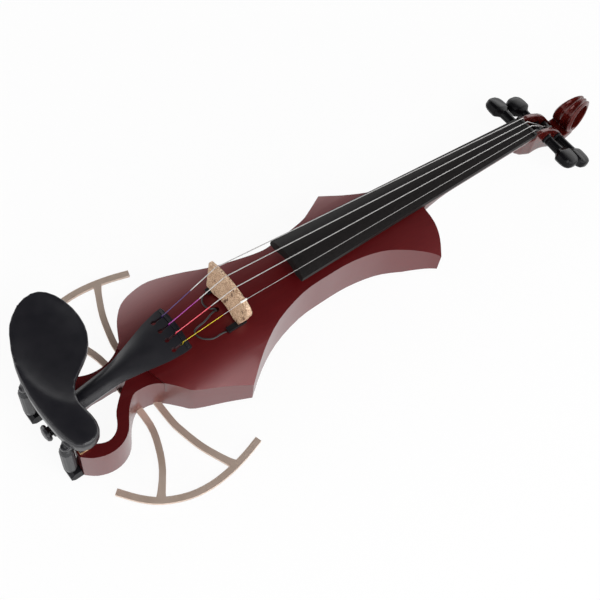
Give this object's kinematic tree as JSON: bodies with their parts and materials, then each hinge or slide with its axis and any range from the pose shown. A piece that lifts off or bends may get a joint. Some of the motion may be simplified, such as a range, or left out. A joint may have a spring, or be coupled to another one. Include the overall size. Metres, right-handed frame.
{
  "type": "electric violin",
  "caption": "Solid-body electric violin with an asymmetric horned body, forked tail arms, flat steel shoulder wings, chinrest, geared pegs and an open scroll.",
  "frame": {"origin": "on the flat back of the body, straight below the point where the strings cross the bridge", "axes": "+X from the tail to the scroll, +Y towards the bass side (lowest string), +Z out of the top towards the strings"},
  "size_m": [0.5844, 0.2026, 0.1041],
  "materials": {
    "body_varnish": "deep red-brown satin varnish on carved wood",
    "ebony": "satin black ebony",
    "maple": "bare speckled maple",
    "black_plastic": "satin black moulded plastic",
    "matte_black": "matte black moulded plastic",
    "grey_plastic": "dark grey moulded plastic",
    "satin_steel": "satin stainless sheet",
    "screw_steel": "bright stainless screws and studs",
    "string_metal": "wound metal strings with silk at the ends",
    "lead_black": "thin black flexible lead",
    "cork": "natural cork sheet",
    "battery_case": "plain dark battery case",
    "circuit_green": "green circuit board"
  },
  "bodies": {
    "violin": {"body_core": "body_varnish", "top_plate": "body_varnish", "neck_and_scroll": "body_varnish", "fingerboard": "ebony", "nut": "ebony", "saddle": "ebony", "end_button": "ebony", "tailpiece": "ebony", "tailpiece_ridge": "ebony", "bridge": "maple", "chinrest": "black_plastic", "peg_g_housing": "matte_black", "string_g": "string_metal", "peg_d_housing": "matte_black", "string_d": "string_metal", "peg_a_housing": "matte_black", "string_a": "string_metal", "peg_e_housing": "matte_black", "string_e": "string_metal", "back_cover": "matte_black", "output_jack": "matte_black", "pickup_treble": "matte_black", "pickup_bass": "matte_black", "volume_control": "grey_plastic", "tone_control": "grey_plastic", "wing_bass": "satin_steel", "wing_treble": "satin_steel", "clamp_bass_stud": "screw_steel", "clamp_treble_stud": "screw_steel", "cover_screw_1": "screw_steel", "cover_screw_2": "screw_steel", "cover_screw_3": "screw_steel", "cover_screw_4": "screw_steel", "wing_screw_bass_tail": "screw_steel", "wing_screw_bass_neck": "screw_steel", "wing_screw_treble_tail": "screw_steel", "wing_screw_treble_neck": "screw_steel", "pickup_lead_treble": "lead_black", "pickup_lead_bass": "lead_black", "tail_cord": "lead_black", "chinrest_cork_bass": "cork", "chinrest_cork_treble": "cork", "battery": "battery_case", "preamp_board": "circuit_green"},
    "peg_g_head": {"peg_g_head": "matte_black"},
    "peg_g_spool": {"peg_g_spool": "grey_plastic"},
    "peg_d_head": {"peg_d_head": "matte_black"},
    "peg_d_spool": {"peg_d_spool": "grey_plastic"},
    "peg_a_head": {"peg_a_head": "matte_black"},
    "peg_a_spool": {"peg_a_spool": "grey_plastic"},
    "peg_e_head": {"peg_e_head": "matte_black"},
    "peg_e_spool": {"peg_e_spool": "grey_plastic"},
    "clamp_bass_barrel": {"clamp_bass_barrel": "grey_plastic"},
    "clamp_bass_jaw": {"clamp_bass_jaw": "matte_black", "clamp_bass_pad": "cork"},
    "clamp_treble_barrel": {"clamp_treble_barrel": "grey_plastic"},
    "clamp_treble_jaw": {"clamp_treble_jaw": "matte_black", "clamp_treble_pad": "cork"},
    "volume_wheel": {"volume_wheel": "matte_black"},
    "tone_wheel": {"tone_wheel": "matte_black"}
  },
  "joints": [
    {"name": "peg_g_turn", "type": "hinge", "parent": "violin", "child": "peg_g_head", "pos_m": [0.33451, 0, 0.01095], "axis": [0, 1, 0], "continuous": true},
    {"name": "peg_g_spool_turn", "type": "hinge", "parent": "violin", "child": "peg_g_spool", "pos_m": [0.33451, 0, 0.01095], "axis": [0, 1, 0], "continuous": true},
    {"name": "peg_d_turn", "type": "hinge", "parent": "violin", "child": "peg_d_head", "pos_m": [0.35401, 0, 0.00645], "axis": [0, 1, 0], "continuous": true},
    {"name": "peg_d_spool_turn", "type": "hinge", "parent": "violin", "child": "peg_d_spool", "pos_m": [0.35401, 0, 0.00645], "axis": [0, 1, 0], "continuous": true},
    {"name": "peg_a_turn", "type": "hinge", "parent": "violin", "child": "peg_a_head", "pos_m": [0.36541, 0, 0.00075], "axis": [0, 1, 0], "continuous": true},
    {"name": "peg_a_spool_turn", "type": "hinge", "parent": "violin", "child": "peg_a_spool", "pos_m": [0.36541, 0, 0.00075], "axis": [0, 1, 0], "continuous": true},
    {"name": "peg_e_turn", "type": "hinge", "parent": "violin", "child": "peg_e_head", "pos_m": [0.34841, 0, 0.01115], "axis": [0, 1, 0], "continuous": true},
    {"name": "peg_e_spool_turn", "type": "hinge", "parent": "violin", "child": "peg_e_spool", "pos_m": [0.34841, 0, 0.01115], "axis": [0, 1, 0], "continuous": true},
    {"name": "clamp_bass_barrel_turn", "type": "hinge", "parent": "violin", "child": "clamp_bass_barrel", "pos_m": [-0.1636, 0.028, 0.03], "axis": [0, 0, 1], "range_deg": [0, 1080]},
    {"name": "clamp_bass_jaw_slide", "type": "slide", "parent": "violin", "child": "clamp_bass_jaw", "axis": [0, 0, -1], "range_m": [0, 0.003]},
    {"name": "clamp_treble_barrel_turn", "type": "hinge", "parent": "violin", "child": "clamp_treble_barrel", "pos_m": [-0.1636, -0.028, 0.03], "axis": [0, 0, 1], "range_deg": [0, 1080]},
    {"name": "clamp_treble_jaw_slide", "type": "slide", "parent": "violin", "child": "clamp_treble_jaw", "axis": [0, 0, -1], "range_m": [0, 0.003]},
    {"name": "volume_wheel_turn", "type": "hinge", "parent": "violin", "child": "volume_wheel", "pos_m": [-0.02993, 0.05337, 0.0083], "axis": [0, 0, 1], "range_deg": [0, 300]},
    {"name": "tone_wheel_turn", "type": "hinge", "parent": "violin", "child": "tone_wheel", "pos_m": [-0.01433, 0.04331, 0.0083], "axis": [0, 0, 1], "range_deg": [0, 300]}
  ],
  "couplings": [
    {"joint": "peg_g_spool_turn", "follows": "peg_g_turn", "ratio": 0.11765},
    {"joint": "peg_d_spool_turn", "follows": "peg_d_turn", "ratio": 0.11765},
    {"joint": "peg_a_spool_turn", "follows": "peg_a_turn", "ratio": 0.11765},
    {"joint": "peg_e_spool_turn", "follows": "peg_e_turn", "ratio": 0.11765},
    {"joint": "clamp_bass_barrel_turn", "follows": "clamp_bass_jaw_slide", "rad_per_m": 6283.2},
    {"joint": "clamp_treble_barrel_turn", "follows": "clamp_treble_jaw_slide", "rad_per_m": 6283.2}
  ]
}
